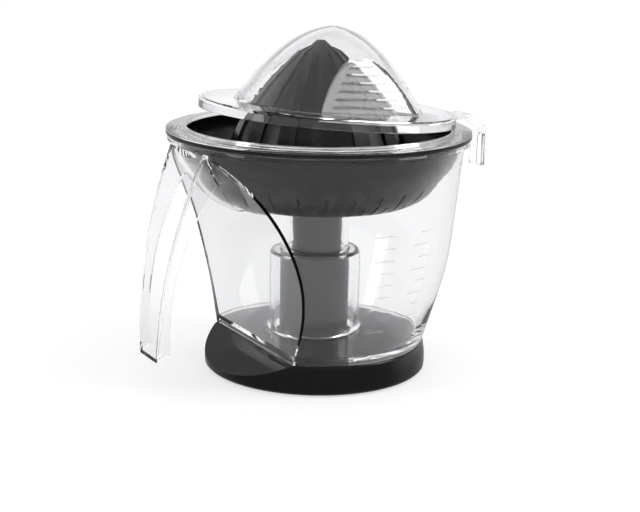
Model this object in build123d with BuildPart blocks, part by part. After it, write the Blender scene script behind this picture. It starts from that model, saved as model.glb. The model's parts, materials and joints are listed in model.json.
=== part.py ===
"""Citrus press juicer: a black base with its drive tower, a clear jug, a strainer, a cone and a dust lid.

Millimetres, +Z up. The origin is on the drive axis, on the table. The handle points to -X, the spout to +X.
"""

from build123d import *
import os
from math import acos, cos, pi, radians, sin, sqrt, tan

# ---- Base -------------------------------------------------------------------------------------
BASE_R = 59.3
BASE_TOP_R = 57.7
BASE_TOP_Z = 15.8
RIM_Z = 0.8
BASE_WALL = 2.4
FACET_D = 38.0
FACET_DROP = 27.6
PLATE_R = 56.4
PLATE_TOP_Z = 2.8
BOSS_SPOT = 32.5
BOSS_R = 3.5
FOOT_R = 5.0
FOOT_SPOT = 47.5
FOOT_TOP_Z = 1.8
SCREW_R = 1.35
SCREW_HOLE_R = 1.4
INLET_Z = 8.2
INLET_R = 3.1

# ---- Tower and drive --------------------------------------------------------------------------
TOWER_R = 18.0
TOWER_IN_R = 15.9
TOWER_FOOT_R = TOWER_R + 1.4
TOWER_SEAT_R = TOWER_FOOT_R + 0.05
TOWER_FLANGE_R = TOWER_R + 3.0
TOWER_FLANGE = 1.8
NECK_R = 13.0
NECK_IN_R = 10.8
SHOULDER_Z = 62.0
TOWER_TOP_Z = 93.0
DRIVE_R = 15.2
DRIVE_BOTTOM_Z = 13.5
MOTOR_TOP_Z = 40.0
GEAR_Z = 43.0
GEAR_WIDTH = 5.5
GEARBOX_TOP_Z = 52.0
SHAFT_R = 1.5
SPINDLE_R = 4.0
RUNNING = 0.05
SPINDLE_TOP_Z = 122.0
HEX_FLATS = 7.0
HEX_START_Z = 105.5

GEAR_MODULE = 0.6
SUN_TEETH = 12
PLANET_TEETH = 15
RING_TEETH = 42
PLANET_COUNT = 3
PLANET_ORBIT = GEAR_MODULE * (SUN_TEETH + PLANET_TEETH) / 2
BACKLASH = 0.1
PRESSURE_ANGLE = radians(20)

# ---- Jug --------------------------------------------------------------------------------------
JUG_BOTTOM_Z = 16.1
FLOOR_UNDER_Z = 17.9
FLOOR_TOP_Z = 20.1
JUG_WALL = 2.3
JUG_TOP_Z = 125.2
JUG_OUTSIDE = [
    (57.7, JUG_BOTTOM_Z),
    (63.6, 36.0),
    (69.6, 58.6),
    (72.4, 80.5),
    (74.6, 104.0),
    (76.6, 122.3),
]
RIM_R = 79.3
SCOOP_D = 37.6
SCOOP_BEND_Z = 30.0
SCOOP_BEND_R = 128.4
CHIMNEY_R = 23.5
CHIMNEY_WALL = 2.4
CHIMNEY_SHOULDER_Z = 64.5
CHIMNEY_NECK_R = 17.4
CHIMNEY_TOP_Z = 97.0

# ---- Handle -----------------------------------------------------------------------------------
HANDLE_TOP_Z = 122.3
HANDLE_BOTTOM_Z = 16.0
HANDLE_TOP_HALF = 20.5
HANDLE_BOTTOM_HALF = 11.3
HANDLE_WALL = 2.4

# ---- Strainer, ring and spout -----------------------------------------------------------------
STRAINER_WALL = 2.0
FLANGE_R = 80.0
FLANGE_UNDER_Z = 125.5
FLANGE_TOP_Z = 127.5
STRAINER_OUTSIDE = [(50.0, 91.5), (59.3, 97.6), (64.8, 104.7), (71.2, 114.5), (72.6, FLANGE_UNDER_Z)]
STRAINER_INSIDE = [(49.3, 93.5), (57.6, 98.9), (62.9, 105.8), (69.2, 115.2), (70.6, FLANGE_TOP_Z)]
SLOT_COUNT = 28
SLOT_WIDTH = 1.6
HUB_R = 20.0
HUB_TOP_Z = 101.0
COLLAR_TOP_Z = 106.0
RING_IN_R = 69.3
RING_BOTTOM_Z = 127.7
SPOUT_TOP_Z = 131.6
SPOUT_NOSE_X = 107.0
SPOUT_LIP_X = 100.3
SPOUT_LIP_R = 5.2
SPOUT_LIP_Z = 102.0
SPOUT_WALL = 2.0

# ---- Cone -------------------------------------------------------------------------------------
CONE_BOTTOM_Z = 98.0
CONE_OUTSIDE = [
    (48.6, CONE_BOTTOM_Z),
    (47.2, 115.0),
    (43.4, 129.0),
    (36.0, 141.6),
    (26.6, 152.8),
    (16.5, 163.3),
]
CONE_RIBS = 14
CONE_RIB_WIDTH = 5.0
CONE_SHELL = 2.2
NUB_TOP_Z = 173.5
NUB_TOP_R = 2.0
SOCKET_R = 7.5
SOCKET_TOP_Z = 124.0
SOCKET_FLATS = 7.2

# ---- Lid --------------------------------------------------------------------------------------
LID_R = 67.7
LID_X = 5.2
LID_Z = 140.4
LID_TILT = 4.2
LID_WALL = 2.0
LID_BEAD = 5.4
LID_RISE = 40.9
DOME_OUTSIDE = [(49.5, 0.0), (45.6, 6.0), (37.2, 17.2), (27.3, 28.0), (16.5, 35.8), (0.0, LID_RISE)]
DOME_INSIDE = [
    (47.4, 0.0),
    (43.5, 5.4),
    (35.2, 16.2),
    (25.8, 26.2),
    (15.4, 33.8),
    (0.0, LID_RISE - LID_WALL),
]
GRIP_BOTTOM_D = 41.0
GRIP_TOP_D = 29.0
GRIP_HEIGHT = 26.0
GRIP_RIBS = 6


def outline(points, plane=Plane.XZ):
    """A closed face through straight edges."""
    with BuildSketch(plane) as drawn:
        with BuildLine():
            Polyline(*points, close=True)
        make_face()
    return drawn.sketch


def shell_outline(outside, inside):
    """A face between two smooth curves, joined by straight ends."""
    with BuildSketch(Plane.XZ) as drawn:
        with BuildLine():
            Spline(*outside)
            Line(outside[-1], inside[-1])
            Spline(*inside)
            Line(inside[0], outside[0])
        make_face()
    return drawn.sketch


def filled_outline(outside, below=0.0):
    """A face between a smooth curve and the Z axis, with a straight foot that reaches below the curve."""
    foot_z = outside[0][1] - below
    corners = [(0, outside[-1][1]), (0, foot_z), outside[0]]
    if below > 0:
        corners.insert(2, (outside[0][0], foot_z))
    if outside[-1][0] > 0:
        corners.insert(0, outside[-1])
    with BuildSketch(Plane.XZ) as drawn:
        with BuildLine():
            Spline(*outside)
            Polyline(*corners)
        make_face()
    return drawn.sketch


def disc(radius, height):
    """A round face at a height."""
    with BuildSketch(Plane.XY.offset(height)) as drawn:
        Circle(radius)
    return drawn.sketch


def washer(radius, hole, height, at=(0, 0)):
    """A round face with a round hole, at a height."""
    with BuildSketch(Plane.XY.offset(height)) as drawn:
        with Locations(at):
            Circle(radius)
            Circle(hole, mode=Mode.SUBTRACT)
    return drawn.sketch


def inset(points, distance):
    """Moves the points of a wall towards the axis."""
    return [(radius - distance, height) for radius, height in points]


def involute(angle):
    """The involute function."""
    return tan(angle) - angle


def gear_outline(teeth, tip, root, backlash, height, turn=0.0):
    """The outline of a gear, with its first tooth centred at the angle turn."""
    pitch_r = GEAR_MODULE * teeth / 2
    base_r = pitch_r * cos(PRESSURE_ANGLE)
    half_tooth = pi / (2 * teeth) - backlash / (2 * pitch_r)
    flank = []
    for step in range(4):
        radius = root + (tip - root) * step / 3
        lean = involute(acos(base_r / radius)) if radius > base_r else 0.0
        flank.append((radius, half_tooth + involute(PRESSURE_ANGLE) - lean))
    points = []
    for tooth in range(teeth):
        centre = turn + 2 * pi * tooth / teeth
        for radius, half in flank:
            points.append((radius * cos(centre - half), radius * sin(centre - half)))
        for radius, half in reversed(flank):
            points.append((radius * cos(centre + half), radius * sin(centre + half)))
    return outline(points, Plane.XY.offset(height))


def planet_turn(angle):
    """How far a planet at this angle is turned, so that its teeth mesh with the sun gear's."""
    sun_share = angle * SUN_TEETH / (2 * pi)
    return angle + pi - (0.5 - sun_share) * 2 * pi / PLANET_TEETH


def around(count, radius, start=0.0):
    """Points spaced evenly on a circle."""
    angles = [radians(start) + 2 * pi * step / count for step in range(count)]
    return [(radius * cos(angle), radius * sin(angle)) for angle in angles]


# ---- Base housing: round base with a seat for the tower ---------------------------------------
facet_fall = (BASE_R + 6 - FACET_D) * tan(radians(FACET_DROP))
facet_cut = [
    (-FACET_D, BASE_TOP_Z + 0.01),
    (-BASE_R - 6, BASE_TOP_Z - facet_fall),
    (-BASE_R - 6, BASE_TOP_Z + 9),
    (-FACET_D, BASE_TOP_Z + 9),
]
facet_inner = [(x + 1.0, z - BASE_WALL) for x, z in facet_cut]
screw_spots = [(BOSS_SPOT * sx, BOSS_SPOT * sy) for sx in (-1, 1) for sy in (-1, 1)]
base_inner_r = BASE_TOP_R - BASE_WALL
inner_top_z = BASE_TOP_Z - BASE_WALL

with BuildPart() as base_cavity:
    revolve(outline([
        (0, 0),
        (PLATE_R + 0.3, 0),
        (PLATE_R + 0.3, PLATE_TOP_Z),
        (base_inner_r, inner_top_z),
        (0, inner_top_z),
    ]))
    extrude(outline(facet_inner), amount=80, both=True, mode=Mode.SUBTRACT)

with BuildPart() as base_housing:
    with BuildSketch(Plane.XZ):
        with BuildLine():
            rim = Polyline((0, RIM_Z), (BASE_R - 1.2, RIM_Z), (BASE_R, RIM_Z + 1.2))
            side = ThreePointArc(rim @ 1, (BASE_R + 0.1, 7.5), (BASE_TOP_R + 0.6, BASE_TOP_Z - 0.6))
            Polyline(side @ 1, (BASE_TOP_R, BASE_TOP_Z), (0, BASE_TOP_Z), (0, RIM_Z))
        make_face()
    revolve(axis=Axis.Z)
    extrude(outline(facet_cut), amount=80, both=True, mode=Mode.SUBTRACT)
    add(base_cavity.part, mode=Mode.SUBTRACT)
    extrude(disc(TOWER_SEAT_R, 5.0), amount=20, mode=Mode.SUBTRACT)
    with Locations(*[(x, y, PLATE_TOP_Z + 0.02) for x, y in screw_spots]):
        Cylinder(BOSS_R, inner_top_z - PLATE_TOP_Z + 0.4, align=(Align.CENTER, Align.CENTER, Align.MIN))
        Cylinder(SCREW_HOLE_R, 8.0, align=(Align.CENTER, Align.CENTER, Align.MIN), mode=Mode.SUBTRACT)
    with Locations(Location((0, BASE_R, INLET_Z), (90, 0, 0))):
        Cylinder(4.6, 14, mode=Mode.SUBTRACT)

# ---- Drive tower: two-step tube, fixed to the deck by a flange below it ------------------------
with BuildPart() as drive_tower:
    revolve(outline([
        (TOWER_IN_R, 9.0),
        (TOWER_FOOT_R, 9.0),
        (TOWER_FOOT_R, inner_top_z - TOWER_FLANGE),
        (TOWER_FLANGE_R, inner_top_z - TOWER_FLANGE),
        (TOWER_FLANGE_R, inner_top_z - RUNNING),
        (TOWER_FOOT_R, inner_top_z - RUNNING),
        (TOWER_FOOT_R, BASE_TOP_Z + 0.6),
        (TOWER_R, BASE_TOP_Z + 2.0),
        (TOWER_R, SHOULDER_Z - 1.5),
        (TOWER_R - 1.5, SHOULDER_Z),
        (NECK_R, SHOULDER_Z),
        (NECK_R, TOWER_TOP_Z - 1.0),
        (NECK_R - 1.0, TOWER_TOP_Z),
        (6.5, TOWER_TOP_Z),
        (6.5, TOWER_TOP_Z - 2.0),
        (NECK_IN_R, TOWER_TOP_Z - 2.0),
        (NECK_IN_R, SHOULDER_Z - 2.0),
        (TOWER_IN_R, SHOULDER_Z - 2.0),
    ]))

# ---- Underside: plate, feet, screws and the inlet for the mains lead --------------------------
foot_spots = around(4, FOOT_SPOT, 0)
with BuildPart() as base_plate:
    extrude(disc(PLATE_R, RIM_Z), amount=PLATE_TOP_Z - RIM_Z)
    with Locations(*[(x, y, 0) for x, y in foot_spots]):
        Cylinder(FOOT_R + 0.05, 2 * FOOT_TOP_Z, mode=Mode.SUBTRACT)
    with Locations(*[(x, y, 0) for x, y in screw_spots]):
        Cylinder(SCREW_HOLE_R, 10, mode=Mode.SUBTRACT)
        Cylinder(3.0, 3.6, mode=Mode.SUBTRACT)
    for ring_r in (14.6, 22.0):
        extrude(washer(ring_r + 0.6, ring_r - 0.6, PLATE_TOP_Z - 0.1), amount=1.1)
    with Locations(*[(x, y, 0) for x, y in around(12, 36.0, 15)]):
        Cylinder(1.2, 10, mode=Mode.SUBTRACT)

with BuildPart() as rubber_feet:
    with Locations(*[(x, y, 0) for x, y in foot_spots]):
        Cylinder(FOOT_R, FOOT_TOP_Z, align=(Align.CENTER, Align.CENTER, Align.MIN))
    fillet(rubber_feet.edges().group_by(Axis.Z)[0], 0.5)

with BuildPart() as base_screws:
    with Locations(*[(x, y, RIM_Z) for x, y in screw_spots]):
        Cylinder(2.7, 1.0, align=(Align.CENTER, Align.CENTER, Align.MIN))
        Cylinder(SCREW_R, 9.0, align=(Align.CENTER, Align.CENTER, Align.MIN))
        Box(3.6, 0.7, 1.0, mode=Mode.SUBTRACT)

inlet_plane = Plane(origin=(0, 53.4, INLET_Z), x_dir=(1, 0, 0), z_dir=(0, 1, 0))
with BuildPart() as cable_bushing:
    with BuildSketch(inlet_plane):
        Circle(5.1)
    extrude(amount=1.6)
    with BuildSketch(inlet_plane):
        Circle(4.5)
    extrude(amount=6.8)
    with BuildSketch(inlet_plane.offset(6.2)):
        Circle(5.6)
    extrude(amount=2.0)
    chamfer(cable_bushing.edges().group_by(Axis.Y)[-1], 0.6)
    with BuildSketch(inlet_plane):
        Circle(INLET_R)
    extrude(amount=9, mode=Mode.SUBTRACT)

# ---- Wiring and press-to-run switch -----------------------------------------------------------
with BuildPart() as terminal_block:
    with Locations((0, 37.0, PLATE_TOP_Z)):
        Box(17, 8, 7.5, align=(Align.CENTER, Align.CENTER, Align.MIN))
    chamfer(terminal_block.edges().filter_by(Axis.X).group_by(Axis.Z)[-1], 1.0)
    with Locations(*[(x, 37.0, PLATE_TOP_Z + 7.5) for x in (-5.2, 0, 5.2)]):
        Cylinder(1.7, 6.0, mode=Mode.SUBTRACT)
    with Locations(*[Location((x, 37.0, PLATE_TOP_Z + 2.2), (90, 0, 0)) for x in (-5.2, 0, 5.2)]):
        Cylinder(1.2, 10, mode=Mode.SUBTRACT)

switch_top_z = 9.3
with BuildPart() as microswitch:
    with Locations((0, 0, PLATE_TOP_Z)):
        Box(12.8, 5.8, switch_top_z - PLATE_TOP_Z, align=(Align.CENTER, Align.CENTER, Align.MIN))
    with Locations(*[Location((x, 0, PLATE_TOP_Z + 1.8), (90, 0, 0)) for x in (-3.3, 3.3)]):
        Cylinder(0.9, 8, mode=Mode.SUBTRACT)
    with Locations((0, 0, switch_top_z)):
        Cylinder(1.15, 6.8, mode=Mode.SUBTRACT)

with BuildPart() as switch_plunger:
    with Locations((0, 0, 7.6)):
        Cylinder(1.1, 3.7, align=(Align.CENTER, Align.CENTER, Align.MIN))
    fillet(switch_plunger.edges().group_by(Axis.Z)[-1], 0.5)

spring_wire_r = 0.55
spring_r = 12.4
with BuildPart() as return_spring:
    with BuildLine() as spring_path:
        Helix(pitch=2.2, height=8.8, radius=spring_r, center=(0, 0, PLATE_TOP_Z + spring_wire_r + 0.05))
    with BuildSketch(Plane(origin=spring_path.line @ 0, z_dir=spring_path.line % 0)):
        Circle(spring_wire_r)
    sweep(is_frenet=True)

# ---- Drive unit: slow synchronous motor and one planetary stage, sliding together in the tower ----
with BuildPart() as motor_can:
    extrude(disc(DRIVE_R, DRIVE_BOTTOM_Z), amount=MOTOR_TOP_Z - DRIVE_BOTTOM_Z)
    extrude(disc(DRIVE_R - 0.9, DRIVE_BOTTOM_Z + 1.0), amount=MOTOR_TOP_Z, mode=Mode.SUBTRACT)
    extrude(washer(4.0, SHAFT_R + RUNNING, DRIVE_BOTTOM_Z), amount=2.4)
    extrude(disc(1.4, DRIVE_BOTTOM_Z - 2.0), amount=2.5)
    with Locations(*[Location((0, 0, 26), (0, 90, 45 + 90 * step)) for step in range(2)]):
        Cylinder(2.2, 40, mode=Mode.SUBTRACT)

with BuildPart() as stator_coil:
    for low, high in ((15.2, 26.4), (27.0, 38.2)):
        extrude(washer(14.1, 10.2, low), amount=1.2)
        extrude(washer(13.6, 10.2, low), amount=high - low)
        extrude(washer(14.1, 10.2, high - 1.2), amount=1.2)
    extrude(washer(13.6, 10.2, 26.0), amount=1.6)

with BuildPart() as motor_end_plate:
    extrude(washer(DRIVE_R, SHAFT_R + RUNNING, MOTOR_TOP_Z), amount=2.0)
    extrude(washer(3.4, SHAFT_R + RUNNING, MOTOR_TOP_Z - 1.5), amount=1.6)

with BuildPart() as rotor_magnet:
    extrude(washer(9.6, SHAFT_R, 18.0), amount=19.5)
    fillet(rotor_magnet.edges().filter_by(GeomType.CIRCLE).sort_by(SortBy.RADIUS)[-2:], 0.6)

sun_tip_r = GEAR_MODULE * SUN_TEETH / 2 + 0.5
sun_root_r = GEAR_MODULE * SUN_TEETH / 2 - 0.72
with BuildPart() as rotor_shaft:
    extrude(disc(SHAFT_R, DRIVE_BOTTOM_Z + 1.1), amount=GEAR_Z - DRIVE_BOTTOM_Z)
    extrude(gear_outline(SUN_TEETH, sun_tip_r, sun_root_r, BACKLASH, GEAR_Z), amount=GEAR_WIDTH)

ring_space_tip_r = GEAR_MODULE * RING_TEETH / 2 + 0.72
ring_space_root_r = GEAR_MODULE * RING_TEETH / 2 - 0.5
with BuildPart() as gear_housing:
    extrude(disc(DRIVE_R, MOTOR_TOP_Z + 2.0), amount=GEARBOX_TOP_Z - MOTOR_TOP_Z - 2.0)
    extrude(
        gear_outline(RING_TEETH, ring_space_tip_r, ring_space_root_r, -BACKLASH, MOTOR_TOP_Z + 1.0),
        amount=20,
        mode=Mode.SUBTRACT,
    )
    with Locations(*[(x, y, GEARBOX_TOP_Z) for x, y in around(3, 14.2, 60)]):
        Cylinder(0.6, 12, mode=Mode.SUBTRACT)

with BuildPart() as gearbox_cover:
    extrude(washer(DRIVE_R, SPINDLE_R + RUNNING, GEARBOX_TOP_Z), amount=2.2)
    extrude(washer(7.0, SPINDLE_R + RUNNING, GEARBOX_TOP_Z), amount=5.6)
    with Locations(*[(x, y, GEARBOX_TOP_Z) for x, y in around(3, 14.2, 60)]):
        Cylinder(0.6, 12, mode=Mode.SUBTRACT)

with BuildPart() as gearbox_screws:
    with Locations(*[(x, y, GEARBOX_TOP_Z - 5.0) for x, y in around(3, 14.2, 60)]):
        Cylinder(0.55, 8.0, align=(Align.CENTER, Align.CENTER, Align.MIN))
    with Locations(*[(x, y, GEARBOX_TOP_Z + 2.2) for x, y in around(3, 14.2, 60)]):
        Cylinder(0.95, 0.9, align=(Align.CENTER, Align.CENTER, Align.MIN))

planet_tip_r = GEAR_MODULE * PLANET_TEETH / 2 + 0.5
planet_root_r = GEAR_MODULE * PLANET_TEETH / 2 - 0.72
planet_gears = []
for number in range(PLANET_COUNT):
    orbit_angle = 2 * pi * number / PLANET_COUNT
    turn = planet_turn(orbit_angle)
    with BuildPart() as planet:
        extrude(
            gear_outline(PLANET_TEETH, planet_tip_r, planet_root_r, BACKLASH, GEAR_Z, turn),
            amount=GEAR_WIDTH,
        )
        extrude(disc(1.25, GEAR_Z - 1), amount=GEAR_WIDTH + 2, mode=Mode.SUBTRACT)
    spot = Location((PLANET_ORBIT * cos(orbit_angle), PLANET_ORBIT * sin(orbit_angle), 0))
    planet_gears.append((f"planet_gear_{number + 1}", planet.part.moved(spot)))

carrier_z = GEAR_Z + GEAR_WIDTH + 0.3
with BuildPart() as planet_carrier:
    extrude(disc(11.4, carrier_z), amount=2.4)
    with Locations(*[(x, y, GEAR_Z) for x, y in around(PLANET_COUNT, PLANET_ORBIT)]):
        Cylinder(1.2, GEAR_WIDTH + 1.0, align=(Align.CENTER, Align.CENTER, Align.MIN))
    with Locations(*[(x, y, carrier_z + 1.2) for x, y in around(PLANET_COUNT, PLANET_ORBIT, 60)]):
        Cylinder(1.9, 6, mode=Mode.SUBTRACT)
    extrude(disc(SPINDLE_R - 0.8, carrier_z - 1), amount=10, mode=Mode.SUBTRACT)

with BuildPart() as output_spindle:
    extrude(disc(SPINDLE_R - 0.8, carrier_z + 0.1), amount=3.0)
    extrude(disc(SPINDLE_R, carrier_z + 2.4), amount=HEX_START_Z - carrier_z - 2.4)
    with BuildSketch(Plane.XY.offset(HEX_START_Z)):
        RegularPolygon(HEX_FLATS / 2, 6, major_radius=False)
    extrude(amount=SPINDLE_TOP_Z - HEX_START_Z)
    chamfer(output_spindle.faces().sort_by(Axis.Z)[-1].edges(), 0.8)

with BuildPart() as tower_bush:
    extrude(washer(6.45, SPINDLE_R + RUNNING, TOWER_TOP_Z - 5.0), amount=5.0)
    extrude(washer(8.6, 6.0, TOWER_TOP_Z - 3.4), amount=1.35)

with BuildPart() as shaft_seal:
    revolve(outline([
        (SPINDLE_R + 0.08, TOWER_TOP_Z + 0.02),
        (9.0, TOWER_TOP_Z + 0.02),
        (9.0, TOWER_TOP_Z + 0.9),
        (6.2, TOWER_TOP_Z + 1.1),
        (4.9, TOWER_TOP_Z + 2.6),
        (SPINDLE_R + 0.08, TOWER_TOP_Z + 2.6),
    ]))

# ---- Jug: wall with a scooped panel, bowl seat, rim, floor, chimney and handle, in one clear moulding ----
bowl_seat = [(radius + 0.4, height - 0.3) for radius, height in STRAINER_OUTSIDE]
bowl_seat[-1] = (73.0, JUG_TOP_Z)
bowl_seat_outside = [(radius + 2.4, height - 1.6) for radius, height in STRAINER_OUTSIDE]
bowl_seat_outside[-1] = (75.4, JUG_TOP_Z - 0.9)
jug_inside = inset(JUG_OUTSIDE, JUG_WALL)
jug_inside[0] = (55.4, FLOOR_TOP_Z)
jug_inside[-1] = (74.0, JUG_TOP_Z + 1)


def scoop_outline(deeper):
    """The space left out by the scooped panel, from the side: flat below, then arched out to the rim."""
    d = SCOOP_D - deeper
    bend_r = SCOOP_BEND_R + deeper
    top = SCOOP_BEND_Z + sqrt(bend_r**2 - (SCOOP_D + SCOOP_BEND_R - 76) ** 2)
    middle = (SCOOP_BEND_Z + top) / 2
    middle_x = SCOOP_D + SCOOP_BEND_R - sqrt(bend_r**2 - (middle - SCOOP_BEND_Z) ** 2)
    with BuildSketch(Plane.XZ) as drawn:
        with BuildLine():
            Line((-d, 0), (-d, SCOOP_BEND_Z))
            ThreePointArc((-d, SCOOP_BEND_Z), (-middle_x, middle), (-76, top))
            Polyline((-76, top), (-140, top), (-140, 0), (-d, 0))
        make_face()
    return drawn.sketch


with BuildPart() as bowl_body:
    revolve(filled_outline(bowl_seat_outside))

with BuildPart() as jug_body:
    revolve(filled_outline(JUG_OUTSIDE))
    extrude(scoop_outline(0), amount=100, both=True, mode=Mode.SUBTRACT)
    add(bowl_body.part)
    extrude(disc(RIM_R, JUG_TOP_Z - 2.6), amount=2.6)

with BuildPart() as bowl_hollow:
    revolve(filled_outline(bowl_seat))

with BuildPart() as jug_hollow:
    revolve(filled_outline(jug_inside))
    extrude(scoop_outline(JUG_WALL), amount=100, both=True, mode=Mode.SUBTRACT)
    add(bowl_hollow.part)

with BuildPart() as foot_recess:
    extrude(disc(BASE_TOP_R - JUG_WALL, JUG_BOTTOM_Z - 1), amount=FLOOR_UNDER_Z - JUG_BOTTOM_Z + 1)
    extrude(scoop_outline(JUG_WALL), amount=100, both=True, mode=Mode.SUBTRACT)


def handle_side(shrink):
    """The handle from the side: arched outer and inner edges, joined at the jug and at the end."""
    top_x = -76.0 + shrink
    with BuildSketch(Plane.XZ) as drawn:
        with BuildLine():
            outer = ThreePointArc(
                (-97.6 + shrink, HANDLE_BOTTOM_Z),
                (-92.6 + shrink, 69),
                (top_x, HANDLE_TOP_Z),
            )
            Polyline(outer @ 1, (-66, HANDLE_TOP_Z), (-66, 106.5), (-68.4, 105.0))
            inner = ThreePointArc((-68.4, 105.0), (-84.2, 72), (-89.8, HANDLE_BOTTOM_Z + 4.2))
            Line(inner @ 1, outer @ 0)
        make_face()
    return drawn.sketch


def handle_front(shrink):
    """The handle from the end: wide at the rim and narrow at the bottom."""
    wide = HANDLE_TOP_HALF - shrink
    narrow = HANDLE_BOTTOM_HALF - shrink
    rise = 12.0 * (HANDLE_TOP_HALF - HANDLE_BOTTOM_HALF) / (HANDLE_TOP_Z - HANDLE_BOTTOM_Z)
    return outline(
        [
            (-narrow + rise, HANDLE_BOTTOM_Z - 12),
            (narrow - rise, HANDLE_BOTTOM_Z - 12),
            (wide, HANDLE_TOP_Z),
            (wide, HANDLE_TOP_Z + 6),
            (-wide, HANDLE_TOP_Z + 6),
            (-wide, HANDLE_TOP_Z),
        ],
        Plane.YZ.offset(-60),
    )


with BuildPart() as handle_channel:
    with BuildSketch(Plane.XZ):
        with BuildLine():
            back = ThreePointArc(
                (-97.4 + HANDLE_WALL, 14),
                (-92.6 + HANDLE_WALL, 69),
                (-76.4 + HANDLE_WALL, 120.4),
            )
            Polyline(back @ 1, (-50, 120.4), (-50, 14), back @ 0)
        make_face()
    extrude(amount=40, both=True)
    extrude(handle_front(HANDLE_WALL), amount=-60, mode=Mode.INTERSECT)

with BuildPart() as handle:
    extrude(handle_side(0), amount=40, both=True)
    extrude(handle_front(0), amount=-60, mode=Mode.INTERSECT)
    fillet(handle.edges().filter_by(lambda edge: edge.center().X < -86 and edge.length > 60), 1.6)
    add(handle_channel.part, mode=Mode.SUBTRACT)

chimney_in_r = CHIMNEY_R - CHIMNEY_WALL
neck_in_r = CHIMNEY_NECK_R - CHIMNEY_WALL
with BuildPart() as jug:
    add(jug_body.part)
    add(handle.part)
    add(jug_hollow.part, mode=Mode.SUBTRACT)
    add(foot_recess.part, mode=Mode.SUBTRACT)
    revolve(outline([
        (chimney_in_r, FLOOR_UNDER_Z),
        (CHIMNEY_R + 4.0, FLOOR_UNDER_Z),
        (CHIMNEY_R + 4.0, FLOOR_TOP_Z),
        (CHIMNEY_R + 1.2, FLOOR_TOP_Z + 1.2),
        (CHIMNEY_R, FLOOR_TOP_Z + 4.0),
        (CHIMNEY_R, CHIMNEY_SHOULDER_Z - 1.6),
        (CHIMNEY_R - 0.8, CHIMNEY_SHOULDER_Z - 0.3),
        (CHIMNEY_R - 2.2, CHIMNEY_SHOULDER_Z),
        (CHIMNEY_NECK_R + 1.0, CHIMNEY_SHOULDER_Z),
        (CHIMNEY_NECK_R, CHIMNEY_SHOULDER_Z + 1.0),
        (CHIMNEY_NECK_R, CHIMNEY_TOP_Z - 0.8),
        (CHIMNEY_NECK_R - 0.8, CHIMNEY_TOP_Z),
        (neck_in_r, CHIMNEY_TOP_Z),
        (neck_in_r, CHIMNEY_SHOULDER_Z - 2.2),
        (chimney_in_r, CHIMNEY_SHOULDER_Z - 2.2),
    ]))
    extrude(disc(chimney_in_r, 10), amount=CHIMNEY_SHOULDER_Z - 12.2, mode=Mode.SUBTRACT)

# ---- Strainer: slotted bowl, flange on the jug's rim, hub over the chimney --------------------


def slot_tool(top_r, top_z):
    """What one slot takes out of the bowl's lower wall, from the floor up to a height."""
    corners = [(51.5, 89.2), (top_r + 2, top_z - 4), (top_r - 5, top_z), (50.5, 96.5)]
    with BuildPart() as tool:
        extrude(outline(corners), amount=SLOT_WIDTH / 2, both=True)
    return tool.part


with BuildPart() as slots:
    with PolarLocations(0, SLOT_COUNT):
        add(slot_tool(67.0, 104.0))
    with PolarLocations(0, SLOT_COUNT, start_angle=180 / SLOT_COUNT):
        add(slot_tool(61.5, 97.6))
    with PolarLocations(35.0, SLOT_COUNT, start_angle=180 / SLOT_COUNT):
        with Locations((0, 0, 92.5)):
            Box(20.0, SLOT_WIDTH, 6)

with BuildPart() as strainer:
    revolve(shell_outline(STRAINER_OUTSIDE, STRAINER_INSIDE))
    revolve(outline([
        (CHIMNEY_NECK_R + 0.3, 91.5),
        (50.0, 91.5),
        (49.3, 93.5),
        (HUB_R + 1.5, 93.5),
        (HUB_R, 95.0),
        (HUB_R, HUB_TOP_Z - 1.0),
        (HUB_R - 1.0, HUB_TOP_Z),
        (7.0, HUB_TOP_Z),
        (6.0, HUB_TOP_Z + 1.0),
        (6.0, COLLAR_TOP_Z),
        (SPINDLE_R + 0.3, COLLAR_TOP_Z),
        (SPINDLE_R + 0.3, HUB_TOP_Z - 2.0),
        (CHIMNEY_NECK_R + 0.3, HUB_TOP_Z - 2.0),
    ]))
    revolve(outline([
        (72.0, FLANGE_UNDER_Z),
        (FLANGE_R - 0.5, FLANGE_UNDER_Z),
        (FLANGE_R, FLANGE_UNDER_Z + 0.5),
        (FLANGE_R, FLANGE_TOP_Z - 0.5),
        (FLANGE_R - 0.5, FLANGE_TOP_Z),
        (70.6, FLANGE_TOP_Z),
    ]))
    add(slots.part, mode=Mode.SUBTRACT)

# ---- Cone: fluted bell with a hexagonal socket for the spindle --------------------------------
cone_inside = [(radius - CONE_SHELL - 0.8, height) for radius, height in CONE_OUTSIDE]
cone_inside[-1] = (11.0, 158.0)
with BuildPart() as cone_rib:
    with BuildSketch(Plane.XZ):
        with BuildLine():
            rib_edge = Spline(*CONE_OUTSIDE)
            Polyline(
                rib_edge @ 1,
                (11.4, 168.1),
                (5.0, 170.9),
                (NUB_TOP_R, NUB_TOP_Z),
                (0, NUB_TOP_Z),
                (0, CONE_BOTTOM_Z),
                rib_edge @ 0,
            )
        make_face()
    extrude(amount=CONE_RIB_WIDTH, both=True)
    with BuildSketch(Plane.XY.offset(CONE_BOTTOM_Z - 1)):
        Polygon((0, 0), (60, CONE_RIB_WIDTH * 1.25), (60, -CONE_RIB_WIDTH * 1.25), align=None)
    extrude(amount=90, mode=Mode.INTERSECT)

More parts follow.
